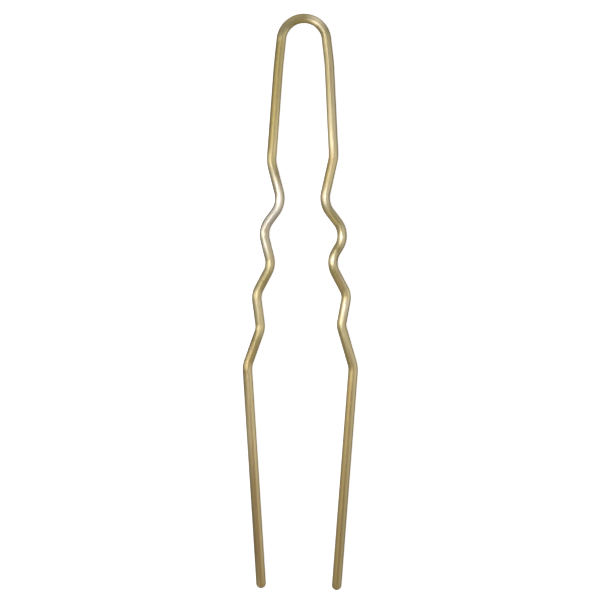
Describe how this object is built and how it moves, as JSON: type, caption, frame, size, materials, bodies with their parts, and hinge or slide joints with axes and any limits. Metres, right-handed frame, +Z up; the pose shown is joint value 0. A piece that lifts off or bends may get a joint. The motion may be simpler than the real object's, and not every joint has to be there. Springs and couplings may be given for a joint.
{
  "type": "hairpin",
  "caption": "U-shaped hairpin bent from round gold-coloured wire: round head, crimped legs that grip the hair, spread knees and straight lower legs with rounded tips.",
  "frame": {"origin": "under the middle of the pin's box, on the surface that it lies on", "axes": "+Y towards the round head, -Y towards the tips, +X towards the right leg, +Z up out of the plane that the pin lies in"},
  "size_m": [0.015, 0.075, 0.0012],
  "materials": {
    "wire": "satin champagne-gold finish over spring steel wire, with fine drawing lines along it"
  },
  "bodies": {
    "root": {"wire": "wire"}
  },
  "joints": []
}
